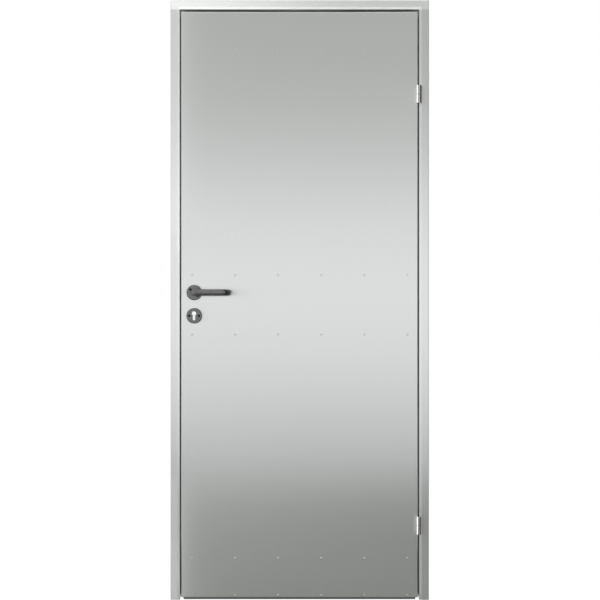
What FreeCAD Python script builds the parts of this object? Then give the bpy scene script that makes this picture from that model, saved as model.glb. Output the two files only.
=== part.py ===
import FreeCAD, Part
import math
import os

# Steel utility door in its folded steel frame, drawn closed, in millimetres.
# X runs along the wall towards the hinges, Y from the pull face to the push face, Z up.
# The origin lies on the wall side of the hinge jamb's front lip, at floor level.

# Frame
FRAME_WIDTH = 890.0
FRAME_HEIGHT = 2065.0
FRAME_DEPTH = 92.0
FRAME_SHEET = 1.5
FRAME_BEND = 0.8
FACE_WIDTH = 32.0
HINGE_FACE_EXTRA = 2.0
EDGE_BEVEL_WIDTH = 9.0
EDGE_BEVEL_DEPTH = 2.0
STOP_WIDTH = 18.0
WALL_LIP = 24.0
FIXING_HOLE = 10.5
FIXING_SLEEVE = 18.0
FIXING_SETBACK = 40.0
FIXING_END = 150.0
FIXING_COUNT = 4

# Leaf
LEAF_GAP = 5.0
HEAD_GAP = 8.0
FLOOR_GAP = 8.0
LEAF_THICKNESS = 50.0
LEAF_SHEET = 1.5
LEAF_BEND = 1.5
LEAF_LIP = 12.0
SEAL_SPACE = 6.0
SEAL_WIDTH = 8.0
SEAL_ROUND = 2.5
SEAL_INSET = 2.0
SEAL_CLEARANCE = 0.4
SWEEP_WIDTH = 10.0
SWEEP_SETBACK = 2.0
SWEEP_INSET = 8.0
SWEEP_FLOOR_GAP = 2.0

# Hinges
UPPER_HINGE_DROP = 325.5
LOWER_HINGE_HEIGHT = 258.5
HINGE_LENGTH = 62.0
HINGE_AXIS_INSET = 1.75
BARREL_DIAMETER = 20.0
BARREL_STANDOFF = 11.0
BARREL_CHAMFER = 0.8
PIN_DIAMETER = 10.0
PIN_END_PLAY = 1.0
WASHER_THICKNESS = 1.0
WASHER_REVEAL = 0.5
HINGE_PLATE = 2.5
HINGE_PLATE_DEPTH = 35.0
HINGE_NOTCH_PLAY = 2.0
HINGE_SCREW_SPACING = 34.0
HINGE_SCREW_SETBACK = 22.0
KNUCKLE_CLEARANCE = 3.0

# Lock
SPINDLE_HEIGHT = 1058.0
SPINDLE_INSET = 45.0
SPINDLE_SQUARE = 8.0
FOLLOWER_DIAMETER = 16.0
CYLINDER_DROP = 72.0
FOREND_LENGTH = 235.0
FOREND_WIDTH = 24.0
FOREND_THICKNESS = 3.0
FOREND_SCREW_END = 11.0
CASE_LENGTH = 165.0
CASE_THICKNESS = 15.0
CASE_BEHIND_SPINDLE = 25.0
BOLT_WIDTH = 12.0
BOLT_LENGTH = 36.0
LATCH_RISE = 12.0
DEAD_BOLT_DROP = 44.0
STRIKE_LENGTH = 170.0
STRIKE_PLAY = 2.0
STRIKE_SCREW_END = 11.0
STRIKE_BOX_DEPTH = 24.0

# Furniture
ROSE_DIAMETER = 53.0
ROSE_THICKNESS = 9.0
ROSE_RIM_ROUND = 2.5
ROSE_SCREW_RADIUS = 16.8
LEVER_ROSE_SCREW_TURN = 140.0
KEY_ROSE_SCREW_TURN = 0.0
LEVER_BAR = 22.0
LEVER_REACH = 128.5
LEVER_PROJECTION = 50.0
LEVER_BEND = 20.0
LEVER_END_GAP = 12.0
LEVER_TIP_ROUND = 3.0
LEVER_HOLE_PLAY = 2.0
CYLINDER_HEAD = 17.0
CYLINDER_TAIL = 10.0
CYLINDER_HEIGHT = 33.0
CYLINDER_PROUD = 2.0
CYLINDER_CHAMFER = 1.2
PLUG_DIAMETER = 13.0
PLUG_DEPTH = 10.0
KEYWAY_WIDTH = 2.0
KEYWAY_HEIGHT = 8.0
RUNNING_CLEARANCE = 0.05
SCREW_HEAD = 9.0
SCREW_SEAT_DEPTH = 1.2

# How closely two places agree, and how far a cutting tool runs past an open side
SAME_PLACE = 0.01
OVERRUN = 1.0

# Planes that several pieces share
front_y = -WALL_LIP / 2
leaf_back_y = front_y + LEAF_THICKNESS
stop_y = leaf_back_y + SEAL_SPACE
rear_y = front_y + FRAME_DEPTH
middle_y = front_y + LEAF_THICKNESS / 2
hinge_rebate_x = -FACE_WIDTH - HINGE_FACE_EXTRA
lock_rebate_x = FACE_WIDTH - FRAME_WIDTH
leaf_right_x = hinge_rebate_x - LEAF_GAP
leaf_left_x = lock_rebate_x + LEAF_GAP
head_rebate_z = FRAME_HEIGHT - FACE_WIDTH
leaf_top_z = head_rebate_z - HEAD_GAP
leaf_bottom_z = FLOOR_GAP
spindle_x = leaf_left_x + SPINDLE_INSET
plug_z = SPINDLE_HEIGHT - CYLINDER_DROP
tail_z = plug_z + CYLINDER_HEAD / 2 - CYLINDER_HEIGHT + CYLINDER_TAIL / 2
latch_z = SPINDLE_HEIGHT + LATCH_RISE
dead_bolt_z = SPINDLE_HEIGHT - DEAD_BOLT_DROP
lock_centre_z = (latch_z + dead_bolt_z) / 2


def vector(x, y, z):
    return FreeCAD.Vector(x, y, z)


def block(x_range, y_range, z_range):
    corner = vector(x_range[0], y_range[0], z_range[0])
    size = [high - low for low, high in (x_range, y_range, z_range)]
    return Part.makeBox(size[0], size[1], size[2], corner)


def rod(diameter, start, end):
    return Part.makeCylinder(diameter / 2, (end - start).Length, start, end - start)


def around(centre, width):
    return (centre - width / 2, centre + width / 2)


def screw_seat(centre, inward):
    """Countersink for a flat screw head, cut into a face whose metal lies inward."""
    return Part.makeCone(SCREW_HEAD / 2, SCREW_HEAD / 2 - SCREW_SEAT_DEPTH, SCREW_SEAT_DEPTH, centre, inward)


def save(node, shape):
    shape.exportStep(os.path.join("parts", node + ".step"))


def prism_along_y(outline_xz, y_range):
    points = [vector(x, y_range[0], z) for x, z in outline_xz]
    face = Part.Face(Part.makePolygon(points + points[:1]))
    return face.extrude(vector(0, y_range[1] - y_range[0], 0))


def direction(start, end):
    length = math.hypot(end[0] - start[0], end[1] - start[1])
    return ((end[0] - start[0]) / length, (end[1] - start[1]) / length)


def parallel_corners(corners, distance):
    """The same open outline, moved to the left of its own direction of travel."""
    ways = [direction(a, b) for a, b in zip(corners, corners[1:])]
    normals = [(-way[1], way[0]) for way in ways]
    moved = []
    for index, corner in enumerate(corners):
        before = normals[max(index - 1, 0)]
        after = normals[min(index, len(normals) - 1)]
        reach = distance / (1 + before[0] * after[0] + before[1] * after[1])
        moved.append((corner[0] + reach * (before[0] + after[0]), corner[1] + reach * (before[1] + after[1])))
    return moved


def rounded_edges(corners, left_radius, right_radius, place):
    """Edges of an open outline whose left and right turns have their own bend radius."""
    edges = []
    start = corners[0]
    for before, corner, after in zip(corners, corners[1:], corners[2:]):
        arriving = direction(before, corner)
        leaving = direction(corner, after)
        turn = math.atan2(
            arriving[0] * leaving[1] - arriving[1] * leaving[0],
            arriving[0] * leaving[0] + arriving[1] * leaving[1],
        )
        radius = left_radius if turn > 0 else right_radius
        setback = radius * math.tan(abs(turn) / 2)
        inward = direction(arriving, leaving)
        bulge = radius / math.cos(turn / 2) - radius
        begin = (corner[0] - setback * arriving[0], corner[1] - setback * arriving[1])
        middle = (corner[0] + bulge * inward[0], corner[1] + bulge * inward[1])
        end = (corner[0] + setback * leaving[0], corner[1] + setback * leaving[1])
        edges.append(Part.makeLine(place(*start), place(*begin)))
        edges.append(Part.Arc(place(*begin), place(*middle), place(*end)).toShape())
        start = end
    edges.append(Part.makeLine(place(*start), place(*corners[-1])))
    return edges


def folded_section(visible, sheet, bend, place):
    """Cut face of a folded sheet: the outline is its visible side, the metal lies on its left."""
    hidden = parallel_corners(visible, sheet)
    outer = rounded_edges(visible, bend + sheet, bend, place)
    inner = rounded_edges(hidden, bend, bend + sheet, place)
    first_end = Part.makeLine(place(*hidden[0]), place(*visible[0]))
    last_end = Part.makeLine(place(*visible[-1]), place(*hidden[-1]))
    return Part.Face(Part.Wire(Part.__sortEdges__(outer + [last_end] + inner + [first_end])))


def folded_tray(x_range, closed_y, open_y, z_range, sheet, bend):
    """Open tray of bent sheet: its flat side lies at closed_y and its lips reach to open_y."""

    def rounded_block(inset, face_y, end_y, radius):
        body = block(
            (x_range[0] + inset, x_range[1] - inset),
            sorted((face_y, end_y)),
            (z_range[0] + inset, z_range[1] - inset),
        )
        bends = [edge for edge in body.Edges if abs(edge.CenterOfMass.y - face_y) < SAME_PLACE]
        return body.makeFillet(radius, bends)

    inward = math.copysign(1, open_y - closed_y)
    outside = rounded_block(0, closed_y, open_y, bend + sheet)
    inside = rounded_block(sheet, closed_y + inward * sheet, open_y + inward * OVERRUN, bend)
    return outside.cut(inside)


os.makedirs("parts", exist_ok=True)

# Frame: one folded section runs round three sides, a little wider on the hinge side. Its
# head goes across the full width, the jambs stand under it, and the bevels meet in mitres.
frame_reach = FACE_WIDTH + STOP_WIDTH
hinge_reach = frame_reach + HINGE_FACE_EXTRA
depth_range = (front_y, rear_y)


def hinge_side(u, v):
    return vector(-u, front_y + v, 0)


def lock_side(u, v):
    return vector(u - FRAME_WIDTH, front_y + v, 0)


def head_side(u, v):
    return vector(0, front_y + v, FRAME_HEIGHT - u)


def frame_member(face_width, side, way):
    outline = [
        (0, WALL_LIP),
        (0, 0),
        (face_width - EDGE_BEVEL_WIDTH, 0),
        (face_width, EDGE_BEVEL_DEPTH),
        (face_width, stop_y - front_y),
        (face_width + STOP_WIDTH, stop_y - front_y),
        (face_width + STOP_WIDTH, FRAME_DEPTH),
        (0, FRAME_DEPTH),
        (0, FRAME_DEPTH - WALL_LIP),
    ]
    return folded_section(outline, FRAME_SHEET, FRAME_BEND, side).extrude(way)


up = vector(0, 0, FRAME_HEIGHT)
across = vector(-FRAME_WIDTH, 0, 0)
mitre_z = FRAME_HEIGHT - frame_reach
hinge_member = frame_member(FACE_WIDTH + HINGE_FACE_EXTRA, hinge_side, up).common(
    prism_along_y(
        [
            (0, 0),
            (0, FRAME_HEIGHT),
            (-HINGE_FACE_EXTRA, FRAME_HEIGHT),
            (-hinge_reach, mitre_z),
            (-hinge_reach, 0),
        ],
        depth_range,
    )
)
lock_member = frame_member(FACE_WIDTH, lock_side, up).common(
    prism_along_y(
        [
            (-FRAME_WIDTH, 0),
            (-FRAME_WIDTH, FRAME_HEIGHT),
            (frame_reach - FRAME_WIDTH, mitre_z),
            (frame_reach - FRAME_WIDTH, 0),
        ],
        depth_range,
    )
)
head_member = frame_member(FACE_WIDTH, head_side, across).common(
    prism_along_y(
        [
            (-HINGE_FACE_EXTRA, FRAME_HEIGHT),
            (-FRAME_WIDTH, FRAME_HEIGHT),
            (frame_reach - FRAME_WIDTH, mitre_z),
            (-hinge_reach, mitre_z),
        ],
        depth_range,
    )
)
full_width = (-FRAME_WIDTH, 0)
head_zone = block(full_width, (front_y, stop_y), (head_rebate_z, FRAME_HEIGHT)).fuse(
    block(full_width, (stop_y, rear_y), (mitre_z, FRAME_HEIGHT))
)
head_corners = [hinge_member.common(head_zone), lock_member.common(head_zone)]
frame_head = head_member.fuse(head_corners).removeSplitter()
hinge_jamb = hinge_member.cut(head_zone)
lock_jamb = lock_member.cut(head_zone)

# Fixings: sleeves through both jambs take the anchors into the wall.
fixing_y = front_y + FIXING_SETBACK
fixing_pitch = (head_rebate_z - 2 * FIXING_END) / (FIXING_COUNT - 1)
for index in range(FIXING_COUNT):
    fixing_z = FIXING_END + index * fixing_pitch
    hinge_wall = vector(0, fixing_y, fixing_z)
    hinge_inside = vector(hinge_rebate_x + FRAME_SHEET, fixing_y, fixing_z)
    hinge_bore = rod(FIXING_HOLE, hinge_wall, vector(hinge_rebate_x, fixing_y, fixing_z))
    hinge_jamb = hinge_jamb.cut(hinge_bore)
    save("hinge_fixing_sleeve_%d" % (index + 1), rod(FIXING_SLEEVE, hinge_wall, hinge_inside).cut(hinge_bore))
    lock_wall = vector(-FRAME_WIDTH, fixing_y, fixing_z)
    lock_inside = vector(lock_rebate_x - FRAME_SHEET, fixing_y, fixing_z)
    lock_bore = rod(FIXING_HOLE, lock_wall, vector(lock_rebate_x, fixing_y, fixing_z))
    lock_jamb = lock_jamb.cut(lock_bore)
    save("lock_fixing_sleeve_%d" % (index + 1), rod(FIXING_SLEEVE, lock_wall, lock_inside).cut(lock_bore))

# Strike: a plate let into the lock jamb, with a dust box behind its two openings.
strike_x = (lock_rebate_x - FRAME_SHEET, lock_rebate_x)
strike_body = block(strike_x, around(middle_y, FOREND_WIDTH), around(lock_centre_z, STRIKE_LENGTH))
lock_jamb = lock_jamb.cut(strike_body)
strike_plate = strike_body
mouth_width = BOLT_WIDTH + STRIKE_PLAY
mouth_length = BOLT_LENGTH + STRIKE_PLAY
for bolt_z in (latch_z, dead_bolt_z):
    mouth = block(strike_x, around(middle_y, mouth_width), around(bolt_z, mouth_length))
    strike_plate = strike_plate.cut(mouth)
for screw_z in around(lock_centre_z, STRIKE_LENGTH - 2 * STRIKE_SCREW_END):
    strike_plate = strike_plate.cut(screw_seat(vector(lock_rebate_x, middle_y, screw_z), vector(-1, 0, 0)))
box_length = latch_z - dead_bolt_z + mouth_length
box_x = (strike_x[0] - STRIKE_BOX_DEPTH, strike_x[0])
strike_box = block(
    box_x,
    around(middle_y, mouth_width + 2 * FRAME_SHEET),
    around(lock_centre_z, box_length + 2 * FRAME_SHEET),
)
box_inside_x = (box_x[0] + FRAME_SHEET, box_x[1])
strike_box = strike_box.cut(
    block(box_inside_x, around(middle_y, mouth_width), around(lock_centre_z, box_length))
)
save("frame_head", frame_head)
save("hinge_jamb", hinge_jamb)
save("lock_jamb", lock_jamb)
save("strike_plate", strike_plate)
save("strike_box", strike_box)

# Rebate seals: soft strips on the stop, just clear of the closed leaf.
seal_y = (leaf_back_y + SEAL_CLEARANCE, stop_y)
seal_reach = frame_reach - SEAL_INSET
hinge_seal_reach = hinge_reach - SEAL_INSET
seal_bottom = leaf_bottom_z
seal_top = FRAME_HEIGHT - seal_reach


def soft_strip(x_range, z_range, long_axis):
    body = block(x_range, seal_y, z_range)
    length = max(getattr(edge.BoundBox, long_axis) for edge in body.Edges)
    rounded = []
    for edge in body.Edges:
        runs_along = getattr(edge.BoundBox, long_axis) > length - SAME_PLACE
        if runs_along and abs(edge.CenterOfMass.y - seal_y[0]) < SAME_PLACE:
            rounded.append(edge)
    return body.makeFillet(SEAL_ROUND, rounded)


hinge_seal_x = (-hinge_seal_reach, SEAL_WIDTH - hinge_seal_reach)
lock_seal_x = (seal_reach - SEAL_WIDTH - FRAME_WIDTH, seal_reach - FRAME_WIDTH)
save("hinge_jamb_seal", soft_strip(hinge_seal_x, (seal_bottom, seal_top), "ZLength"))
save("lock_jamb_seal", soft_strip(lock_seal_x, (seal_bottom, seal_top), "ZLength"))
save("head_seal", soft_strip((lock_seal_x[0], hinge_seal_x[1]), (seal_top, seal_top + SEAL_WIDTH), "XLength"))

# Leaf: the front sheet folds round the edge of a deeper tray that forms the back.
front_skin = folded_tray(
    (leaf_left_x, leaf_right_x),
    front_y,
    front_y + LEAF_LIP,
    (leaf_bottom_z, leaf_top_z),
    LEAF_SHEET,
    LEAF_BEND,
)
tray_left_x = leaf_left_x + LEAF_SHEET
tray_right_x = leaf_right_x - LEAF_SHEET
tray_bottom_z = leaf_bottom_z + LEAF_SHEET
rear_tray = folded_tray(
    (tray_left_x, tray_right_x),
    leaf_back_y,
    front_y + LEAF_SHEET + LEAF_BEND,
    (tray_bottom_z, leaf_top_z - LEAF_SHEET),
    LEAF_SHEET,
    LEAF_BEND,
)
sweep_y = front_y + SWEEP_SETBACK
save(
    "bottom_sweep",
    block(
        (leaf_left_x + SWEEP_INSET, leaf_right_x - SWEEP_INSET),
        (sweep_y, sweep_y + SWEEP_WIDTH),
        (SWEEP_FLOOR_GAP, leaf_bottom_z),
    ),
)

# Hinges: lift-off, with the pin in the lower knuckle. The plates lie in the gap beside
# the leaf, and each is cut back round the knuckle that belongs to the other one.
hinge_x = hinge_rebate_x - HINGE_AXIS_INSET
hinge_y = front_y - BARREL_STANDOFF
plate_y = (hinge_y, front_y + HINGE_PLATE_DEPTH)
hinge_screw_y = front_y + HINGE_SCREW_SETBACK


def on_hinge_axis(diameter, z_range):
    return rod(diameter, vector(hinge_x, hinge_y, z_range[0]), vector(hinge_x, hinge_y, z_range[1]))


def knuckle(z_range):
    barrel = on_hinge_axis(BARREL_DIAMETER, z_range)
    return barrel.makeChamfer(BARREL_CHAMFER, [edge for edge in barrel.Edges if edge.isClosed()])


def knuckle_space(z_range):
    return on_hinge_axis(BARREL_DIAMETER + 2 * KNUCKLE_CLEARANCE, z_range)


for name, hinge_z in (("upper", FRAME_HEIGHT - UPPER_HINGE_DROP), ("lower", LOWER_HINGE_HEIGHT)):
    bottom_z, top_z = around(hinge_z, HINGE_LENGTH)
    washer_z = around(hinge_z, WASHER_THICKNESS)
    pin_bottom = bottom_z + HINGE_PLATE
    socket_top = top_z - HINGE_PLATE
    pin = on_hinge_axis(PIN_DIAMETER, (pin_bottom, socket_top - PIN_END_PLAY))
    frame_plate = block((hinge_rebate_x - HINGE_PLATE, hinge_rebate_x), plate_y, (bottom_z, top_z))
    frame_plate = frame_plate.cut(knuckle_space((washer_z[0], top_z)))
    frame_hinge = frame_plate.fuse(knuckle((bottom_z, washer_z[0]))).removeSplitter().cut(pin)
    leaf_plate = block((tray_right_x, tray_right_x + HINGE_PLATE), plate_y, (bottom_z, top_z))
    leaf_plate = leaf_plate.cut(knuckle_space((bottom_z, washer_z[1])))
    socket = on_hinge_axis(PIN_DIAMETER + 2 * RUNNING_CLEARANCE, (pin_bottom, socket_top))
    leaf_knuckle = knuckle((washer_z[1] + RUNNING_CLEARANCE, top_z))
    leaf_hinge = leaf_plate.fuse(leaf_knuckle).removeSplitter().cut(socket)
    for screw_z in around(hinge_z, HINGE_SCREW_SPACING):
        frame_screw = vector(hinge_rebate_x - HINGE_PLATE, hinge_screw_y, screw_z)
        leaf_screw = vector(tray_right_x + HINGE_PLATE, hinge_screw_y, screw_z)
        frame_hinge = frame_hinge.cut(screw_seat(frame_screw, vector(1, 0, 0)))
        leaf_hinge = leaf_hinge.cut(screw_seat(leaf_screw, vector(-1, 0, 0)))
    front_skin = front_skin.cut(
        block(
            (tray_right_x, leaf_right_x),
            (front_y, front_y + LEAF_LIP),
            around(hinge_z, HINGE_LENGTH + HINGE_NOTCH_PLAY),
        )
    )
    save(name + "_hinge_frame_half", frame_hinge)
    save(name + "_hinge_leaf_half", leaf_hinge)
    save(name + "_hinge_pin", pin)
    save(name + "_hinge_washer", on_hinge_axis(BARREL_DIAMETER - 2 * WASHER_REVEAL, washer_z).cut(pin))

# Lock: forend flush in the edge of the back tray, case behind it, both bolts drawn in.
forend_x = (tray_left_x, tray_left_x + FOREND_THICKNESS)
case_x = (forend_x[1], spindle_x + CASE_BEHIND_SPINDLE)
forend = block(forend_x, around(middle_y, FOREND_WIDTH), around(lock_centre_z, FOREND_LENGTH))
lock_case = block(case_x, around(middle_y, CASE_THICKNESS), around(lock_centre_z, CASE_LENGTH))
rear_tray = rear_tray.cut(forend)
bolt_x = (forend_x[0], forend_x[0] + SPINDLE_INSET - FOLLOWER_DIAMETER)
latch_bolt = block(bolt_x, around(middle_y, BOLT_WIDTH), around(latch_z, BOLT_LENGTH))
dead_bolt = block(bolt_x, around(middle_y, BOLT_WIDTH), around(dead_bolt_z, BOLT_LENGTH))
forend = forend.cut([latch_bolt, dead_bolt])
lock_case = lock_case.cut([latch_bolt, dead_bolt])
for screw_z in (*around(lock_centre_z, FOREND_LENGTH - 2 * FOREND_SCREW_END), tail_z):
    forend = forend.cut(screw_seat(vector(forend_x[0], middle_y, screw_z), vector(1, 0, 0)))

# Lock cylinder: the usual profile of a round head over a narrower tail, through both faces.
cylinder_y = (front_y - ROSE_THICKNESS - CYLINDER_PROUD, leaf_back_y + ROSE_THICKNESS + CYLINDER_PROUD)


def along_leaf(diameter, x, y_range, z):
    return rod(diameter, vector(x, y_range[0], z), vector(x, y_range[1], z))


def cylinder_profile(y_range):
    head = along_leaf(CYLINDER_HEAD, spindle_x, y_range, plug_z)
    tail = along_leaf(CYLINDER_TAIL, spindle_x, y_range, tail_z)
    web = block(around(spindle_x, CYLINDER_TAIL), y_range, (tail_z, plug_z))
    return head.fuse([tail, web]).removeSplitter()


cylinder = cylinder_profile(cylinder_y)
rims = [edge for edge in cylinder.Edges if edge.BoundBox.YLength < SAME_PLACE]
cylinder = cylinder.makeChamfer(CYLINDER_CHAMFER, rims)
cylinder_space = cylinder_profile((front_y, leaf_back_y))
front_skin = front_skin.cut(cylinder_space)
rear_tray = rear_tray.cut(cylinder_space)
lock_case = lock_case.cut(cylinder_space)
plug_ends = {
    "front": (cylinder_y[0], cylinder_y[0] + PLUG_DEPTH),
    "rear": (cylinder_y[1] - PLUG_DEPTH, cylinder_y[1]),
}
for side, plug_y in plug_ends.items():
    plug = along_leaf(PLUG_DIAMETER, spindle_x, plug_y, plug_z)
    cylinder = cylinder.cut(plug)
    keyway = block(around(spindle_x, KEYWAY_WIDTH), plug_y, around(plug_z, KEYWAY_HEIGHT))
    save(side + "_cylinder_plug", plug.cut(keyway))
save("lock_cylinder", cylinder)

# Lever handles: a bent round bar on each face, joined by a square spindle through the case.
spindle_y = (front_y - ROSE_THICKNESS - LEVER_BEND / 2, leaf_back_y + ROSE_THICKNESS + LEVER_BEND / 2)
follower_y = around(middle_y, CASE_THICKNESS)
square = block(around(spindle_x, SPINDLE_SQUARE), spindle_y, around(SPINDLE_HEIGHT, SPINDLE_SQUARE))
spindle = square.fuse(along_leaf(FOLLOWER_DIAMETER, spindle_x, follower_y, SPINDLE_HEIGHT)).removeSplitter()
follower_space = along_leaf(
    FOLLOWER_DIAMETER + 2 * RUNNING_CLEARANCE, spindle_x, follower_y, SPINDLE_HEIGHT
)
lock_case = lock_case.cut(follower_space)
skin_hole = along_leaf(LEVER_BAR + LEVER_HOLE_PLAY, spindle_x, (front_y, leaf_back_y), SPINDLE_HEIGHT)
front_skin = front_skin.cut(skin_hole)
rear_tray = rear_tray.cut(skin_hole)


def lever(face_y, outward):
    """Bar that leaves the leaf, runs towards the hinges and turns back to the leaf."""
    grip_y = face_y + outward * LEVER_PROJECTION
    bend_y = grip_y - outward * LEVER_BEND
    end_y = face_y + outward * LEVER_END_GAP
    end_x = spindle_x + LEVER_REACH - LEVER_BAR / 2
    near_bend = spindle_x + LEVER_BEND
    far_bend = end_x - LEVER_BEND
    diagonal = LEVER_BEND * (1 - math.sqrt(0.5))

    def point(x, y):
        return vector(x, y, SPINDLE_HEIGHT)

    path = [
        Part.makeLine(point(spindle_x, face_y), point(spindle_x, bend_y)),
        Part.Arc(
            point(spindle_x, bend_y),
            point(spindle_x + diagonal, grip_y - outward * diagonal),
            point(near_bend, grip_y),
        ).toShape(),
        Part.makeLine(point(near_bend, grip_y), point(far_bend, grip_y)),
        Part.Arc(
            point(far_bend, grip_y),
            point(end_x - diagonal, grip_y - outward * diagonal),
            point(end_x, bend_y),
        ).toShape(),
        Part.makeLine(point(end_x, bend_y), point(end_x, end_y)),
    ]
    ring = Part.makeCircle(LEVER_BAR / 2, point(spindle_x, face_y), vector(0, outward, 0))
    bar = Part.Wire(path).makePipeShell([Part.Wire(ring)], True, False)
    tip = []
    for edge in bar.Edges:
        if edge.BoundBox.YLength < SAME_PLACE and abs(edge.CenterOfMass.y - end_y) < SAME_PLACE:
            tip.append(edge)
    return bar.makeFillet(LEVER_TIP_ROUND, tip)


def rose(face_y, outward, centre_z, opening, screw_turn):
    """Round cover on the leaf with a rounded rim and two screw seats across its centre."""
    outer_y = face_y + outward * ROSE_THICKNESS
    disc = rod(ROSE_DIAMETER, vector(spindle_x, face_y, centre_z), vector(spindle_x, outer_y, centre_z))
    rim = [edge for edge in disc.Edges if edge.isClosed() and abs(edge.CenterOfMass.y - outer_y) < SAME_PLACE]
    cover = disc.makeFillet(ROSE_RIM_ROUND, rim).cut(opening)
    for turn in (math.radians(screw_turn), math.radians(screw_turn) + math.pi):
        screw_x = spindle_x + ROSE_SCREW_RADIUS * math.cos(turn)
        screw_z = centre_z + ROSE_SCREW_RADIUS * math.sin(turn)
        cover = cover.cut(screw_seat(vector(screw_x, outer_y, screw_z), vector(0, -outward, 0)))
    return cover


neck_space = along_leaf(LEVER_BAR + 2 * RUNNING_CLEARANCE, spindle_x, cylinder_y, SPINDLE_HEIGHT)
key_space = cylinder_profile(cylinder_y)
key_cover_z = plug_z + (CYLINDER_HEAD - CYLINDER_HEIGHT) / 2
for side, face_y, outward in (("front", front_y, -1), ("rear", leaf_back_y, 1)):
    save(side + "_lever", lever(face_y, outward).cut(spindle))
    save(side + "_lever_rose", rose(face_y, outward, SPINDLE_HEIGHT, neck_space, LEVER_ROSE_SCREW_TURN))
    save(side + "_key_rose", rose(face_y, outward, key_cover_z, key_space, KEY_ROSE_SCREW_TURN))
save("spindle", spindle)
save("lock_case", lock_case)
save("lock_forend", forend)
save("latch_bolt", latch_bolt)
save("dead_bolt", dead_bolt)
save("front_skin", front_skin)
save("rear_tray", rear_tray)
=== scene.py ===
import math

import bpy
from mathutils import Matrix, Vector


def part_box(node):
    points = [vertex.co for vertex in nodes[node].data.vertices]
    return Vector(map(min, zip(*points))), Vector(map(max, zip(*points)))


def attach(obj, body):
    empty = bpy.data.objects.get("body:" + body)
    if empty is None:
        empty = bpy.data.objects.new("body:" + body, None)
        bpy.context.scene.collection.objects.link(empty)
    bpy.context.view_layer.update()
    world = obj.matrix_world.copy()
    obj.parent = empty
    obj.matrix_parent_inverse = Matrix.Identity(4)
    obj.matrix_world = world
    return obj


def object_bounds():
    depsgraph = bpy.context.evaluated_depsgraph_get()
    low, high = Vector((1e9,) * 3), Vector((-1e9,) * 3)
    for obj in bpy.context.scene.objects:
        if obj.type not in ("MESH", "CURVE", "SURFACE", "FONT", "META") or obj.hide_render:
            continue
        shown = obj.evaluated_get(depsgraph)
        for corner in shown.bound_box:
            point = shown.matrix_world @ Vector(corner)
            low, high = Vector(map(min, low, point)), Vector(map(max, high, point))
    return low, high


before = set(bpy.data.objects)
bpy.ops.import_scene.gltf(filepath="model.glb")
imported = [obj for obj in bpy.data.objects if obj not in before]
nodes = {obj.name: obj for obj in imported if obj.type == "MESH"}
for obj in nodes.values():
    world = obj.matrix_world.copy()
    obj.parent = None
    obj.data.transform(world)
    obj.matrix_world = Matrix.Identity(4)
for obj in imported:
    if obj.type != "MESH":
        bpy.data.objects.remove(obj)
cad_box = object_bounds()


# The frame is one folded sheet section on three sides, bare steel with a satin grain.
# The jambs are brushed along their height and the head along its width, as the sheet came
# off the belt before it was folded and welded.
class Signal:
    """A node socket that takes part in plain arithmetic; each operator adds a Math node."""

    def __init__(self, tree, socket):
        self.tree = tree
        self.socket = socket

    def node(self, kind, settings, inputs, output=0):
        """Adds a node of a kind with its settings and socket values, and returns one output."""
        made = self.tree.nodes.new(kind)
        for name, value in settings.items():
            if name == "stops":
                ramp = made.color_ramp
                while len(ramp.elements) < len(value):
                    ramp.elements.new(0.5)
                for element, (place, colour) in zip(ramp.elements, value):
                    element.position = place
                    element.color = (*colour, 1.0)
            else:
                setattr(made, name, value)
        for name, value in inputs.items():
            if isinstance(value, Signal):
                self.tree.links.new(value.socket, made.inputs[name])
            else:
                made.inputs[name].default_value = value
        return Signal(self.tree, made.outputs[output])

    def combine(self, operation, first, second):
        return self.node("ShaderNodeMath", {"operation": operation}, {0: first, 1: second})

    def __add__(self, other):
        return self.combine("ADD", self, other)

    def __radd__(self, other):
        return self.combine("ADD", other, self)

    def __sub__(self, other):
        return self.combine("SUBTRACT", self, other)

    def __rsub__(self, other):
        return self.combine("SUBTRACT", other, self)

    def __mul__(self, other):
        return self.combine("MULTIPLY", self, other)

    def __rmul__(self, other):
        return self.combine("MULTIPLY", other, self)


def new_finish(name, **constants):
    """A material with one Principled shader; returns it, its shader and its object coordinates."""
    finish = bpy.data.materials.new(name)
    finish.use_nodes = True
    tree = finish.node_tree
    shader = tree.nodes["Principled BSDF"]
    for socket, value in constants.items():
        shader.inputs[socket.replace("_", " ").title().replace("Ior", "IOR")].default_value = value
    place = Signal(tree, tree.nodes.new("ShaderNodeTexCoord").outputs["Object"])
    return finish, shader, place


def feed(shader, socket, signal):
    signal.tree.links.new(signal.socket, shader.inputs[socket])


def speckle(place, size, detail):
    """Noise whose grains are about one size, in metres, or one size along each axis."""
    sizes = size if isinstance(size, tuple) else (size, size, size)
    scale = [1 / each for each in sizes]
    spread = place.node("ShaderNodeMapping", {}, {"Vector": place, "Scale": scale})
    return place.node("ShaderNodeTexNoise", {}, {"Vector": spread, "Scale": 1.0, "Detail": detail})


BLEND_START = 0.3
BLEND_END = 0.7


def between(signal, low_colour, high_colour):
    """Goes from one colour to the other over the middle of a signal's range."""
    stops = [(BLEND_START, low_colour), (BLEND_END, high_colour)]
    return signal.node("ShaderNodeValToRGB", {"stops": stops}, {"Fac": signal})


ALONG_X = 0
ALONG_Z = 2
SHINE_TURN = {ALONG_X: 0.25, ALONG_Z: 0.0}
SCRATCH_WIDTH = 0.0008
SCRATCH_LENGTH = 0.12
SCRATCH_DEPTH = 0.0002
SCRATCH_STRENGTH = 0.03
SCRATCH_TONE = 0.65
SCRATCH_DULLING = 0.03
STREAK_WIDTH = 0.012
STREAK_LENGTH = 0.9
STREAK_TONE = 0.15
STREAK_DULLING = 0.01
SMUDGE_SIZE = 0.35
SMUDGE_TONE = 0.2
SMUDGE_DULLING = 0.02
MEAN_DULLING = (SCRATCH_DULLING + STREAK_DULLING + SMUDGE_DULLING) / 2
WORN_SHADE = 0.965


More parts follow.
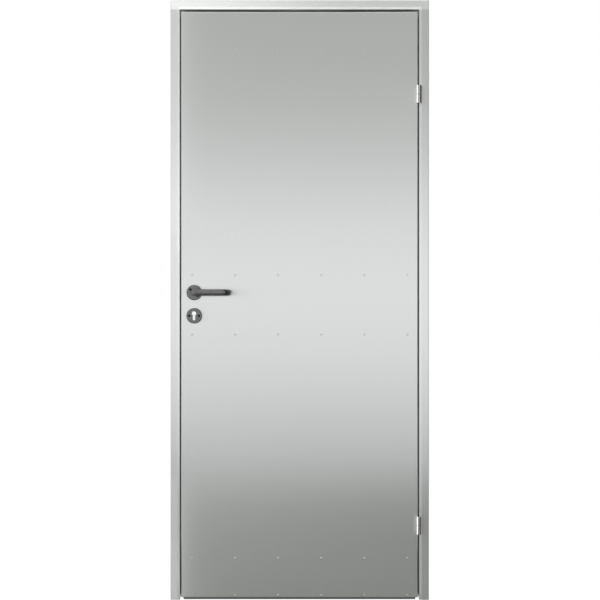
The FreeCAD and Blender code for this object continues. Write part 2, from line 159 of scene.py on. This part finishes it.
def drawn_out(width, length, along):
    return tuple(length if axis == along else width for axis in range(3))


def brushed_steel(name, colour, roughness, along):
    """Satin steel: belt scratches drawn out along one axis, which spread the shine across it."""
    turn = SHINE_TURN[along]
    finish, shader, place = new_finish(name, metallic=1.0, anisotropic=0.95, anisotropic_rotation=turn)
    scratch = speckle(place, drawn_out(SCRATCH_WIDTH, SCRATCH_LENGTH, along), detail=2.0)
    streak = speckle(place, drawn_out(STREAK_WIDTH, STREAK_LENGTH, along), detail=3.0)
    smudge = speckle(place, SMUDGE_SIZE, detail=2.0)
    tone = SCRATCH_TONE * scratch + STREAK_TONE * streak + SMUDGE_TONE * smudge
    dulling = SCRATCH_DULLING * scratch + STREAK_DULLING * streak + SMUDGE_DULLING * smudge
    worn = [channel * WORN_SHADE for channel in colour]
    feed(shader, "Base Color", between(tone, worn, colour))
    feed(shader, "Roughness", roughness - MEAN_DULLING + dulling)
    relief = {"Strength": SCRATCH_STRENGTH, "Distance": SCRATCH_DEPTH, "Height": scratch}
    feed(shader, "Normal", place.node("ShaderNodeBump", {}, relief))
    return finish


def dress(finish, *names):
    for name in names:
        nodes[name].data.materials.clear()
        nodes[name].data.materials.append(finish)


JAMB_STEEL = (0.692, 0.715, 0.702)
# The head is the same steel as the jambs; its lighter colour is painted light, which brightens the
# head.
HEAD_STEEL_PAINTED_LIGHTER = (0.735, 0.757, 0.741)
dress(brushed_steel("jamb steel", JAMB_STEEL, roughness=0.30, along=ALONG_Z), "hinge_jamb", "lock_jamb")
dress(brushed_steel("head steel painted lighter", HEAD_STEEL_PAINTED_LIGHTER, roughness=0.32, along=ALONG_X), "frame_head")

# The fixing sleeves, the strike box and the lock case are plain zinc-coated steel, which
# shows only from the wall side or through openings. The sleeves stand across the jambs, the
# box sits behind the strike plate, and the case lies inside the edge of the leaf.
SPANGLES_PER_METRE = 260.0
ZINC_DARK = (0.44, 0.45, 0.46)
ZINC_LIGHT = (0.56, 0.57, 0.58)
ZINC_ROUGHNESS = 0.38
SPANGLE_DULLING = 0.15


def zinc_steel():
    finish, shader, place = new_finish("zinc steel", metallic=1.0)
    cells = {"Vector": place, "Scale": SPANGLES_PER_METRE}
    spangle = place.node("ShaderNodeTexVoronoi", {"feature": "F1"}, cells, "Color")
    shade = place.node("ShaderNodeSeparateColor", {}, {"Color": spangle})
    feed(shader, "Base Color", between(shade, ZINC_DARK, ZINC_LIGHT))
    feed(shader, "Roughness", ZINC_ROUGHNESS + SPANGLE_DULLING * shade)
    return finish


sleeves = [name for name in nodes if "sleeve" in name]
dress(zinc_steel(), "strike_box", "lock_case", *sleeves)

# The rebate seals are extruded strips of black rubber on the stop of the frame, with the
# dull bloom that such strips get. The sweep under the leaf is a grey one.
BLOOM_SIZE = 0.0015
BLOOM_BLUE = 0.98
BLOOM_DULLING = 0.2
RUBBER_ROUGHNESS = 0.55


def rubber(name, low, high):
    finish, shader, place = new_finish(name, specular_ior_level=0.35)
    bloom = speckle(place, BLOOM_SIZE, detail=3.0)
    feed(shader, "Base Color", between(bloom, (low, low, low), (high, high, high * BLOOM_BLUE)))
    feed(shader, "Roughness", RUBBER_ROUGHNESS + BLOOM_DULLING * bloom)
    return finish


dress(rubber("black rubber", low=0.02, high=0.04), "head_seal", "hinge_jamb_seal", "lock_jamb_seal")
dress(rubber("grey rubber", low=0.13, high=0.17), "bottom_sweep")

# The leaf is satin steel, brushed along the height of the door: a front sheet that folds
# round the edge of a deeper tray, which forms the back.
LEAF_STEEL = (0.673, 0.695, 0.681)
dress(brushed_steel("leaf steel", LEAF_STEEL, roughness=0.30, along=ALONG_Z), "front_skin", "rear_tray")


# Spot welds hold the sheets to the stiffeners inside the leaf. Each leaves a small round
# pip, six to a row. Those at the top are dressed almost flush, and those above and below
# the lock and at the foot of the door stand a little higher.
def repeating_tree(name, sizes):
    """A geometry tree with one number input for each size, and a finish."""
    tree = bpy.data.node_groups.new(name, "GeometryNodeTree")
    tree.interface.new_socket("Places", in_out="INPUT", socket_type="NodeSocketGeometry")
    for size in sizes:
        tree.interface.new_socket(size, in_out="INPUT", socket_type="NodeSocketFloat")
    tree.interface.new_socket("Finish", in_out="INPUT", socket_type="NodeSocketMaterial")
    tree.interface.new_socket("Pieces", in_out="OUTPUT", socket_type="NodeSocketGeometry")
    given = tree.nodes.new("NodeGroupInput")
    return tree, {socket.name: Signal(tree, socket) for socket in given.outputs if socket.name}


def close_tree(tree, given, shape, smooth):
    """Puts the shape at every place, turned to face the way that the place says, as one mesh."""

    def attribute(kind, name):
        settings = {"data_type": kind}
        return shape.node("GeometryNodeInputNamedAttribute", settings, {"Name": name}, "Attribute")

    facing = attribute("FLOAT_VECTOR", "facing")
    turn = attribute("FLOAT", "turn")
    aim = shape.node("FunctionNodeAlignRotationToVector", {"axis": "Z"}, {"Vector": facing})
    twist = shape.node("FunctionNodeAxisAngleToRotation", {}, {"Axis": (0, 0, 1), "Angle": turn})
    turns = {"Rotation": aim, "Rotate By": twist}
    aim = shape.node("FunctionNodeRotateRotation", {"rotation_space": "LOCAL"}, turns)
    copying = {"Points": given["Places"], "Instance": shape, "Rotation": aim}
    copies = shape.node("GeometryNodeInstanceOnPoints", {}, copying)
    mesh = shape.node("GeometryNodeRealizeInstances", {}, {"Geometry": copies})
    mesh = shape.node("GeometryNodeSetShadeSmooth", {}, {"Geometry": mesh, "Shade Smooth": smooth})
    mesh = shape.node("GeometryNodeSetMaterial", {}, {"Geometry": mesh, "Material": given["Finish"]})
    tree.links.new(mesh.socket, tree.nodes.new("NodeGroupOutput").inputs["Pieces"])
    return tree


def lay_out(name, tree, places, sizes, finish, body):
    """One mesh of a tree's shape at each (place, facing, turn), riding on a body."""
    carrier = bpy.data.meshes.new(name)
    carrier.from_pydata([place for place, facing, turn in places], [], [])
    carrier.attributes.new("facing", "FLOAT_VECTOR", "POINT")
    carrier.attributes.new("turn", "FLOAT", "POINT")
    for index, (place, facing, turn) in enumerate(places):
        carrier.attributes["facing"].data[index].vector = facing
        carrier.attributes["turn"].data[index].value = turn
    piece = bpy.data.objects.new(name, carrier)
    bpy.context.scene.collection.objects.link(piece)
    modifier = piece.modifiers.new("repeat", "NODES")
    modifier.node_group = tree
    values = {**sizes, "Finish": finish}
    for item in tree.interface.items_tree:
        if item.in_out == "INPUT" and item.name in values:
            modifier[item.identifier] = values[item.name]
    made = piece.evaluated_get(bpy.context.evaluated_depsgraph_get())
    mesh = bpy.data.meshes.new_from_object(made)
    piece.modifiers.remove(modifier)
    piece.data = mesh
    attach(piece, body)


def weld_tree():
    """A pip of one width that stands out by one height, half of it below the surface."""
    tree, given = repeating_tree("weld spot", ["Width", "Height"])
    ball = {"Segments": 20, "Rings": 12, "Radius": 0.5}
    pip = given["Width"].node("GeometryNodeMeshUVSphere", {}, ball)
    sides = {"X": given["Width"], "Y": given["Width"], "Z": 2 * given["Height"]}
    size = pip.node("ShaderNodeCombineXYZ", {}, sides)
    pip = pip.node("GeometryNodeTransform", {}, {"Geometry": pip, "Scale": size})
    return close_tree(tree, given, pip, smooth=True)


def grained_metal(name, grain, detail, colours, roughness, dulling):
    """Metal whose tone and gloss change a little from grain to grain."""
    finish, shader, place = new_finish(name, metallic=1.0)
    mottle = speckle(place, grain, detail=detail)
    feed(shader, "Base Color", between(mottle, *colours))
    feed(shader, "Roughness", roughness + dulling * mottle)
    return finish


WELD_COLUMNS = 6
WELD_PITCH = 0.1482
WELD_SHIFT = 0.001
TO_FRONT = Vector((0, -1, 0))
TO_REAR = Vector((0, 1, 0))
skin_low, skin_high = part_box("front_skin")
rear_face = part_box("rear_tray")[1].y
leaf_middle = (skin_low.x + skin_high.x) / 2


def weld_places(levels):
    places = []
    for level in levels:
        for column in range(WELD_COLUMNS):
            across = leaf_middle + WELD_SHIFT + (column - (WELD_COLUMNS - 1) / 2) * WELD_PITCH
            places.append((Vector((across, skin_low.y, level)), TO_FRONT, 0.0))
            places.append((Vector((across, rear_face, level)), TO_REAR, 0.0))
    return places


spot_weld = weld_tree()
DRESSED_WELD = (0.711, 0.734, 0.720)
FLUSH_WELD_DROPS = (0.0105, 0.1305)
FLUSH_WELD_SIZES = {"Width": 0.0085, "Height": 0.0001}
dressed_weld = brushed_steel("dressed weld", DRESSED_WELD, roughness=0.30, along=ALONG_Z)
flush_welds = weld_places([skin_high.z - drop for drop in FLUSH_WELD_DROPS])
lay_out("flush_welds", spot_weld, flush_welds, FLUSH_WELD_SIZES, dressed_weld, "leaf")

WELD_DARK = (0.60, 0.61, 0.59)
WELD_LIGHT = (0.70, 0.715, 0.70)
LOCK_WELD_RISES = (0.906, 1.111)
LOCK_WELD_SIZES = {"Width": 0.0078, "Height": 0.0007}
FOOT_WELD_RISES = (0.007, 0.1345)
FOOT_WELD_SIZES = {"Width": 0.0090, "Height": 0.0007}
raised_weld = grained_metal(
    "weld spot",
    grain=0.0008,
    detail=3.0,
    colours=(WELD_DARK, WELD_LIGHT),
    roughness=0.22,
    dulling=0.12,
)
lock_welds = weld_places([skin_low.z + rise for rise in LOCK_WELD_RISES])
foot_welds = weld_places([skin_low.z + rise for rise in FOOT_WELD_RISES])
lay_out("lock_welds", spot_weld, lock_welds, LOCK_WELD_SIZES, raised_weld, "leaf")
lay_out("foot_welds", spot_weld, foot_welds, FOOT_WELD_SIZES, raised_weld, "leaf")

# The hinges are turned steel, polished bright: two knuckles on one pin, a thin washer
# between them, and flat plates that go back into the gap beside the leaf.
HINGE_DARK = (0.52, 0.52, 0.515)
HINGE_LIGHT = (0.58, 0.58, 0.575)
TURNING_MARK = (0.012, 0.012, 0.0005)
hinge_steel = grained_metal(
    "polished steel",
    grain=TURNING_MARK,
    detail=2.0,
    colours=(HINGE_DARK, HINGE_LIGHT),
    roughness=0.13,
    dulling=0.08,
)
for height in ("upper", "lower"):
    for half in ("frame_half", "leaf_half", "pin", "washer"):
        dress(hinge_steel, height + "_hinge_" + half)

# The strike plate in the jamb, the forend in the edge of the leaf, the two bolts and the
# square spindle are plain satin steel, cut from flat and square bar.
LOCK_STEEL = (0.62, 0.62, 0.615)
lock_steel = brushed_steel("lock steel", LOCK_STEEL, roughness=0.36, along=ALONG_Z)
dress(lock_steel, "strike_plate", "lock_forend", "latch_bolt", "dead_bolt", "spindle")

# The lever handles and the roses are metal with a dark graphite finish, satin to the touch
# and a little lighter where hands rub it. The levers sit on the spindle, and the roses are
# screwed to the faces of the leaf.
GRAPHITE_DARK = (0.135, 0.135, 0.137)
GRAPHITE_LIGHT = (0.185, 0.185, 0.186)
GRAPHITE_ROUGHNESS = 0.22
GRAPHITE_GRAIN = 0.0012
GRAPHITE_GRAIN_DULLING = 0.08
RUB_SIZE = 0.02
RUB_DULLING = 0.06


def graphite_metal():
    finish, shader, place = new_finish("graphite metal", metallic=1.0)
    grain = speckle(place, GRAPHITE_GRAIN, detail=3.0)
    rub = speckle(place, RUB_SIZE, detail=2.0)
    dulling = GRAPHITE_GRAIN_DULLING * grain + RUB_DULLING * rub
    feed(shader, "Base Color", between(0.5 * grain + 0.5 * rub, GRAPHITE_DARK, GRAPHITE_LIGHT))
    feed(shader, "Roughness", GRAPHITE_ROUGHNESS + dulling)
    return finish


graphite = graphite_metal()
for side in ("front", "rear"):
    dress(graphite, side + "_lever", side + "_lever_rose", side + "_key_rose")

# The key cylinder is satin nickel, brushed flat on its two ends. The faces of the plugs in it
# carry a painted highlight, light in the middle, which turns to painted shade towards the rim.
NICKEL_DARK = (0.80, 0.80, 0.788)
NICKEL_LIGHT = (0.87, 0.87, 0.857)
BRUSHING_MARK = (0.006, 0.006, 0.0004)
satin_nickel = grained_metal(
    "satin nickel",
    grain=BRUSHING_MARK,
    detail=2.0,
    colours=(NICKEL_DARK, NICKEL_LIGHT),
    roughness=0.26,
    dulling=0.08,
)
dress(satin_nickel, "lock_cylinder")

PLUG_PAINTED_HIGHLIGHT_RADIUS = 0.0035
PLUG_RADIUS = 0.0065
PLUG_PAINTED_HIGHLIGHT = (0.92, 0.92, 0.906)
PLUG_PAINTED_RIM_SHADE = (0.52, 0.52, 0.512)
PLUG_ROUGHNESS = 0.15
PLUG_GRAIN = 0.0009
PLUG_GRAIN_DULLING = 0.08


def nickel_with_painted_highlight(name, face_centre):
    finish, shader, place = new_finish(name, metallic=1.0)
    ends = {0: place, 1: face_centre}
    radius = place.node("ShaderNodeVectorMath", {"operation": "DISTANCE"}, ends, "Value")
    # painted light: the face is lightest in the middle and darkens towards its rim, a painted highlight
    # and painted shade
    rim = (radius - PLUG_PAINTED_HIGHLIGHT_RADIUS) * (1 / (PLUG_RADIUS - PLUG_PAINTED_HIGHLIGHT_RADIUS))
    grain = speckle(place, PLUG_GRAIN, detail=2.0)
    feed(shader, "Base Color", between(rim, PLUG_PAINTED_HIGHLIGHT, PLUG_PAINTED_RIM_SHADE))
    feed(shader, "Roughness", PLUG_ROUGHNESS + PLUG_GRAIN_DULLING * grain)
    return finish


def outer_centre(name, side):
    """The middle of a piece's face on the front or the rear of the leaf."""
    low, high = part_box(name)
    centre = (low + high) / 2
    centre.y = low.y if side == "front" else high.y
    return centre


for side in ("front", "rear"):
    plug = side + "_cylinder_plug"
    dress(nickel_with_painted_highlight(side + " plug nickel", outer_centre(plug, side)), plug)


# Countersunk screws with a cross recess: dark ones through the roses, and plain steel ones
# in the hinge plates, the strike plate and the forend, each in the seat cut for its head.
def screw_steel(name, low, high):
    colours = ((low, low, low), (high, high, high))
    return grained_metal(name, grain=0.0009, detail=3.0, colours=colours, roughness=0.30, dulling=0.15)


SCREW_SIZES = {"Head Width": 0.0087, "Head Depth": 0.00095, "Sunk": 0.00015, "Slot Width": 0.0013}
SLOT_LENGTH_SHARE = 0.62
RECESS_HEIGHT_SHARE = 1.2
RECESS_RISE_SHARE = 0.9


def screw_tree():
    """A cone with two crossed bars cut from its top, which lies a little below the surface."""
    tree, given = repeating_tree("countersunk screw", list(SCREW_SIZES))
    head_depth = given["Head Depth"]
    slot_width = given["Slot Width"]
    rim = 0.5 * given["Head Width"]
    cone = {"Vertices": 32, "Radius Top": rim, "Radius Bottom": rim - head_depth, "Depth": head_depth}
    head = rim.node("GeometryNodeMeshCone", {"fill_type": "NGON"}, cone, "Mesh")
    slot_length = SLOT_LENGTH_SHARE * given["Head Width"]
    recess_height = RECESS_HEIGHT_SHARE * head_depth
    recess_place = rim.node("ShaderNodeCombineXYZ", {}, {"Z": RECESS_RISE_SHARE * head_depth})
    for length, width in ((slot_length, slot_width), (slot_width, slot_length)):
        bar_size = rim.node("ShaderNodeCombineXYZ", {}, {"X": length, "Y": width, "Z": recess_height})
        bar = rim.node("GeometryNodeMeshCube", {}, {"Size": bar_size}, "Mesh")
        bar = rim.node("GeometryNodeTransform", {}, {"Geometry": bar, "Translation": recess_place})
        cut = {"Mesh 1": head, "Mesh 2": bar}
        head = rim.node("GeometryNodeMeshBoolean", {"operation": "DIFFERENCE"}, cut, "Mesh")
    down = rim.node("ShaderNodeCombineXYZ", {}, {"Z": 0 - given["Sunk"] - head_depth})
    head = rim.node("GeometryNodeTransform", {}, {"Geometry": head, "Translation": down})
    return close_tree(tree, given, head, smooth=False)


ROSE_SCREW_RADIUS = 0.0168
ROSE_SCREW_TURNS = {"lever": math.radians(140), "key": 0.0}
rose_places = []
for side, facing in (("front", TO_FRONT), ("rear", TO_REAR)):
    for kind, turn in ROSE_SCREW_TURNS.items():
        centre = outer_centre(side + "_" + kind + "_rose", side)
        for angle in (turn, turn + math.pi):
            reach = Vector((math.cos(angle), 0, math.sin(angle))) * ROSE_SCREW_RADIUS
            rose_places.append((centre + reach, facing, angle))
countersunk = screw_tree()
dark_screw = screw_steel("dark screw", low=0.012, high=0.022)
lay_out("rose_screws", countersunk, rose_places, SCREW_SIZES, dark_screw, "leaf")

TO_LOCK = Vector((-1, 0, 0))
TO_HINGE = Vector((1, 0, 0))
FRAME_SHEET = 0.0015
HINGE_PLATE = 0.0025
HINGE_SCREW_SPACING = 0.034
HINGE_SCREW_SETBACK = 0.022
FRAME_HINGE_SCREW_TURN = 0.017
LEAF_HINGE_SCREW_TURN = 0.034
frame_plate_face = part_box("hinge_fixing_sleeve_1")[0].x - FRAME_SHEET - HINGE_PLATE
leaf_plate_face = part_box("rear_tray")[1].x + HINGE_PLATE
hinge_screw_depth = skin_low.y + HINGE_SCREW_SETBACK
frame_places = []
leaf_places = []
for height in ("upper", "lower"):
    low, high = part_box(height + "_hinge_frame_half")
    for end in (-1, 1):
        level = (low.z + high.z) / 2 + end * HINGE_SCREW_SPACING / 2
        frame_screw = Vector((frame_plate_face, hinge_screw_depth, level))
        frame_places.append((frame_screw, TO_LOCK, end * FRAME_HINGE_SCREW_TURN))
        leaf_screw = Vector((leaf_plate_face, hinge_screw_depth, level))
        leaf_places.append((leaf_screw, TO_HINGE, end * LEAF_HINGE_SCREW_TURN))

STRIKE_SCREW_END = 0.011
STRIKE_SCREW_TURN = 0.4
low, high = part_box("strike_plate")
for level in (low.z + STRIKE_SCREW_END, high.z - STRIKE_SCREW_END):
    strike_screw = Vector((high.x, (low.y + high.y) / 2, level))
    frame_places.append((strike_screw, TO_HINGE, STRIKE_SCREW_TURN))

FOREND_SCREW_END = 0.011
FOREND_SCREW_TURN = 0.7
CYLINDER_TAIL = 0.010
tail_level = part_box("lock_cylinder")[0].z + CYLINDER_TAIL / 2
low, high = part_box("lock_forend")
for level in (low.z + FOREND_SCREW_END, high.z - FOREND_SCREW_END, tail_level):
    forend_screw = Vector((low.x, (low.y + high.y) / 2, level))
    leaf_places.append((forend_screw, TO_LOCK, FOREND_SCREW_TURN))
plain_screw = screw_steel("plain screw", low=0.55, high=0.66)
lay_out("frame_screws", countersunk, frame_places, SCREW_SIZES, plain_screw, "frame")
lay_out("leaf_screws", countersunk, leaf_places, SCREW_SIZES, plain_screw, "leaf")

# The studio floor is a pale board a little below the door. It shows white and keeps some of
# the door's shadow. Well out on the hinge side the board itself is dark, though it still
# shows white to the camera, so that the foot of the steel reflects less light there.
FLOOR_REACH = 3.3
FLOOR_LEVEL = -0.06
frame_centre = (cad_box[0] + cad_box[1]) / 2
floor_mesh = bpy.data.meshes.new("floor")
corners = [(-1, -1), (1, -1), (1, 1), (-1, 1)]
floor_points = [(frame_centre.x + FLOOR_REACH * x, FLOOR_REACH * y, FLOOR_LEVEL) for x, y in corners]
floor_mesh.from_pydata(floor_points, [], [(0, 1, 2, 3)])
floor = bpy.data.objects.new("floor", floor_mesh)
bpy.context.scene.collection.objects.link(floor)

FLOOR_SHADE = 0.47
FLOOR_FALL_PER_METRE = 0.11
FLOOR_TINT = (1.0, 1.0, 0.965)
DARK_CORNER_START = 0.7
DARK_CORNER_END = 1.3
DARK_CORNER_SHARE = 0.25
floor_finish, floor_shader, floor_place = new_finish("pale floor", roughness=0.8)
floor_tree = floor_finish.node_tree
floor_across = floor_place.node("ShaderNodeSeparateXYZ", {}, {"Vector": floor_place}, "X")
floor_depth = floor_place.node("ShaderNodeSeparateXYZ", {}, {"Vector": floor_place}, "Y")
floor_aside = floor_across - frame_centre.x
dark_corner = floor_place.node(
    "ShaderNodeMapRange",
    {"interpolation_type": "SMOOTHSTEP"},
    {
        "Value": floor_aside,
        "From Min": DARK_CORNER_START,
        "From Max": DARK_CORNER_END,
        "To Min": 1.0,
        "To Max": DARK_CORNER_SHARE,
    },
)
floor_shade = FLOOR_SHADE * (1 - FLOOR_FALL_PER_METRE * floor_aside) * dark_corner
floor_stops = [(0.0, (0.0, 0.0, 0.0)), (1.0, FLOOR_TINT)]
floor_colour = floor_shade.node("ShaderNodeValToRGB", {"stops": floor_stops}, {"Fac": floor_shade})
feed(floor_shader, "Base Color", floor_colour)


def rays_that_see(tree, backdrop):
    """One for rays that see the white background: all but those that glance off to the studio."""
    path = tree.nodes.new("ShaderNodeLightPath")
    straight = Signal(tree, path.outputs["Is Camera Ray"])
    through = Signal(tree, path.outputs["Is Transmission Ray"])
    glanced = Signal(tree, path.outputs["Is Glossy Ray"])
    direct = straight.combine("MAXIMUM", straight, through)
    return direct.combine("MAXIMUM", direct, glanced * backdrop)


WHITE = (1.0, 1.0, 1.0, 1.0)
FLOOR_SHADOW = 0.1
FLOOR_GLOW = 1.09
behind_door = floor_depth.combine("GREATER_THAN", floor_depth, cad_box[1].y)
floor_white = floor_place.node("ShaderNodeEmission", {}, {"Color": WHITE, "Strength": FLOOR_GLOW})
floor_lit = Signal(floor_tree, floor_shader.outputs["BSDF"])
floor_seen = (1 - FLOOR_SHADOW * dark_corner) * rays_that_see(floor_tree, behind_door)
floor_shown = floor_place.node("ShaderNodeMixShader", {}, {0: floor_seen, 1: floor_lit, 2: floor_white})
floor_tree.links.new(floor_shown.socket, floor_tree.nodes["Material Output"].inputs["Surface"])
floor_mesh.materials.append(floor_finish)

# The light tent gives the satin steel its bands. It is bright at eye level and dimmer just
# above and below, with a bright panel on either side of the camera and a dark one beyond, on
# the hinge side. Looked at directly, or reflected from behind the door, it is plain white.
world = bpy.data.worlds.new("light tent")
world.use_nodes = True
bpy.context.scene.world = world
sky = world.node_tree
way = Signal(sky, sky.nodes.new("ShaderNodeTexCoord").outputs["Generated"])
sideways = way.node("ShaderNodeSeparateXYZ", {}, {"Vector": way}, "X")
forward = way.node("ShaderNodeSeparateXYZ", {}, {"Vector": way}, "Y")
upward = way.node("ShaderNodeSeparateXYZ", {}, {"Vector": way}, "Z")
WARM_BLUE = 0.975
COOL_RED = 1.005
COOL_BLUE = 1.015


def tilt(degrees):
    """Where an angle above the horizon lies on the ramp from straight down to straight up."""
    return 0.5 + 0.5 * math.sin(math.radians(degrees))


def turned(degrees):
    """Where an angle from the camera towards the hinge side lies on the ramp right round."""
    return 0.5 + degrees / 360


def grey(value):
    return (value, value, value)


def warm(value):
    return (value, value, WARM_BLUE * value)


def cool(value):
    return (COOL_RED * value, value, COOL_BLUE * value)


LIGHT_BY_HEIGHT = {
    -40: grey(1.6),
    -15: grey(1.6),
    -10: grey(0.46),
    -6: grey(0.565),
    -3: cool(0.85),
    -1: cool(0.96),
    3: cool(0.95),
    8: warm(0.445),
    18: warm(0.415),
    28: grey(0.9),
    90: grey(0.85),
}
LIGHT_BY_SIDE = {
    -180: 0.9,
    -60: 0.85,
    -14: 0.85,
    -8: 2.1,
    -5: 1.98,
    -3.5: 1.61,
    -1.75: 1.28,
    0: 0.97,
    1.75: 0.885,
    3.5: 0.82,
    5: 0.755,
    8: 0.72,
    13: 1.58,
    38: 1.58,
    42: 0.12,
    70: 0.12,
    90: 0.32,
    140: 0.7,
    180: 0.9,
}
LOCK_SIDE_WALL = {-180: 0.2, -110: 0.33, -20: 0.33, -14: 0.0}
heading = way.combine("ARCTAN2", sideways, -1 * forward)
around = 0.5 + (0.5 / math.pi) * heading


def light_around(light):
    stops = [(turned(degrees), grey(value)) for degrees, value in light.items()]
    return way.node("ShaderNodeValToRGB", {"stops": stops}, {"Fac": around})


height_stops = [(tilt(degrees), colour) for degrees, colour in LIGHT_BY_HEIGHT.items()]
by_height = way.node("ShaderNodeValToRGB", {"stops": height_stops}, {"Fac": 0.5 + 0.5 * upward})
by_side = light_around(LIGHT_BY_SIDE)
side_wall = light_around(LOCK_SIDE_WALL)
tent_bands = way.node("ShaderNodeBackground", {}, {"Color": by_height, "Strength": by_side})
tent_wall = way.node("ShaderNodeBackground", {}, {"Color": side_wall, "Strength": 1.0})
tent = way.node("ShaderNodeAddShader", {}, {0: tent_bands, 1: tent_wall})

BACKDROP_EDGE = math.radians(22)
BACKDROP_FULL = math.radians(14)
backdrop = way.node(
    "ShaderNodeMapRange",
    {"interpolation_type": "SMOOTHSTEP"},
    {"Value": forward, "From Min": math.cos(BACKDROP_EDGE), "From Max": math.cos(BACKDROP_FULL)},
)
plain_white = way.node("ShaderNodeBackground", {}, {"Color": WHITE, "Strength": 1.0})
seen = way.node("ShaderNodeMixShader", {}, {0: rays_that_see(sky, backdrop), 1: tent, 2: plain_white})
sky.links.new(seen.socket, sky.nodes["World Output"].inputs["Surface"])


# Soft lamps each light only a few pieces: two strips beside the lock jamb, long lamps for
# the bevels of the jambs and the head, broad ones that graze the leaf from both sides, and a
# round one for each hinge.
def lamp(name, shape, size, power, place, facing, lit):
    """A soft lamp that lights only some nodes, and is shaded only by them."""
    light_data = bpy.data.lights.new(name, "AREA")
    light_data.shape = shape
    light_data.size, light_data.size_y = size
    light_data.energy = power
    light = bpy.data.objects.new(name, light_data)
    light.location = place
    light.rotation_euler = Vector(facing).to_track_quat("-Z", "Y").to_euler()
    light.visible_camera = False
    targets = bpy.data.collections.new("lit by " + name)
    for target in lit:
        targets.objects.link(nodes[target])
    light.light_linking.receiver_collection = targets
    light.light_linking.blocker_collection = targets
    bpy.context.scene.collection.objects.link(light)


STRIPS = {"upper_strip": (1.25, 2.80, 0.088), "lower_strip": (-0.70, 0.42, 0.096)}
STRIP_WIDTH = 0.03
STRIP_ASIDE = 0.005
STRIP_FORWARD = 0.12
for name, (low, high, power) in STRIPS.items():
    place = (cad_box[0].x - STRIP_ASIDE, skin_low.y - STRIP_FORWARD, (low + high) / 2)
    size = (STRIP_WIDTH, high - low)
    lamp(name, "ELLIPSE", size, power, place, TO_REAR, ("lock_jamb", "front_skin"))

BEVEL_LIGHTS = {
    "lock_jamb_upper": ("lock", 1.20, 2.50, 0.48),
    "lock_jamb_lower": ("lock", -0.90, 1.20, 0.40),
    "hinge_jamb": ("hinge", -0.90, 2.40, 0.36),
    "lock_jamb_foot": ("lock", -0.90, 0.15, 0.06),
    "hinge_jamb_foot": ("hinge", -0.90, 0.15, 0.09),
}
BEVEL_LIGHT_WIDTH = 0.05
BEVEL_LIGHT_ASIDE = 0.135
BEVEL_LIGHT_FORWARD = 0.25
bevel_light_depth = skin_low.y - BEVEL_LIGHT_FORWARD
leaf_edges = {"lock": (skin_low.x, -1), "hinge": (skin_high.x, 1)}
for name, (side, low, high, power) in BEVEL_LIGHTS.items():
    edge, outward = leaf_edges[side]
    place = (edge - outward * BEVEL_LIGHT_ASIDE, bevel_light_depth, (low + high) / 2)
    facing = (outward * BEVEL_LIGHT_ASIDE, BEVEL_LIGHT_FORWARD, 0)
    size = (BEVEL_LIGHT_WIDTH, high - low)
    lamp(name + "_bevel_light", "RECTANGLE", size, power, place, facing, (side + "_jamb",))

HEAD_LIGHT_SIZE = (1.3, BEVEL_LIGHT_WIDTH)
HEAD_LIGHT_POWER = 0.30
place = (frame_centre.x, bevel_light_depth, skin_high.z - BEVEL_LIGHT_ASIDE)
facing = (0, BEVEL_LIGHT_FORWARD, BEVEL_LIGHT_ASIDE)
lamp("head_bevel_light", "RECTANGLE", HEAD_LIGHT_SIZE, HEAD_LIGHT_POWER, place, facing, ("frame_head",))

EDGE_LIGHT_POWERS = {"lock": 8.3, "hinge": 9.5}
EDGE_LIGHT_SIZE = (0.6, 4.0)
EDGE_LIGHT_ASIDE = 1.2
EDGE_LIGHT_FORWARD = 0.32
for side, power in EDGE_LIGHT_POWERS.items():
    edge, outward = leaf_edges[side]
    place = (edge + outward * EDGE_LIGHT_ASIDE, skin_low.y - EDGE_LIGHT_FORWARD, frame_centre.z)
    facing = (-outward * EDGE_LIGHT_ASIDE, EDGE_LIGHT_FORWARD, 0)
    lamp(side + "_edge_light", "RECTANGLE", EDGE_LIGHT_SIZE, power, place, facing, ("front_skin",))

HINGE_LAMP_SIZE = (0.36, 0.36)
HINGE_LAMP_POWER = 0.8
HINGE_LAMP_ASIDE = 0.39
HINGE_LAMP_FORWARD = 0.13
for height in ("upper", "lower"):
    halves = (height + "_hinge_frame_half", height + "_hinge_leaf_half", height + "_hinge_washer")
    low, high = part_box(halves[0])
    middle = (low + high) / 2
    place = (middle.x - HINGE_LAMP_ASIDE, middle.y - HINGE_LAMP_FORWARD, middle.z)
    facing = (HINGE_LAMP_ASIDE, HINGE_LAMP_FORWARD, 0)
    lamp(height + "_hinge_lamp", "ELLIPSE", HINGE_LAMP_SIZE, HINGE_LAMP_POWER, place, facing, halves)

# The camera stands square to the door, at the height of its middle and a room's length away,
# and the frame fills the picture from top to bottom.
CAMERA_DISTANCE = 4.5
PICTURE_PIXELS = 600
FRAME_PIXELS = 599.7
SHIFT_PIXELS = 0.25
pixel = (cad_box[1].z - cad_box[0].z) / FRAME_PIXELS
camera_data = bpy.data.cameras.new("camera")
camera = bpy.data.objects.new("camera", camera_data)
bpy.context.scene.collection.objects.link(camera)
bpy.context.scene.camera = camera
camera.location = (frame_centre.x + SHIFT_PIXELS * pixel, skin_low.y - CAMERA_DISTANCE, frame_centre.z)
camera.rotation_euler = (math.radians(90), 0, 0)
camera_data.sensor_fit = "HORIZONTAL"
camera_data.lens = camera_data.sensor_width * CAMERA_DISTANCE / (pixel * PICTURE_PIXELS)

bpy.context.scene.view_settings.view_transform = "Standard"
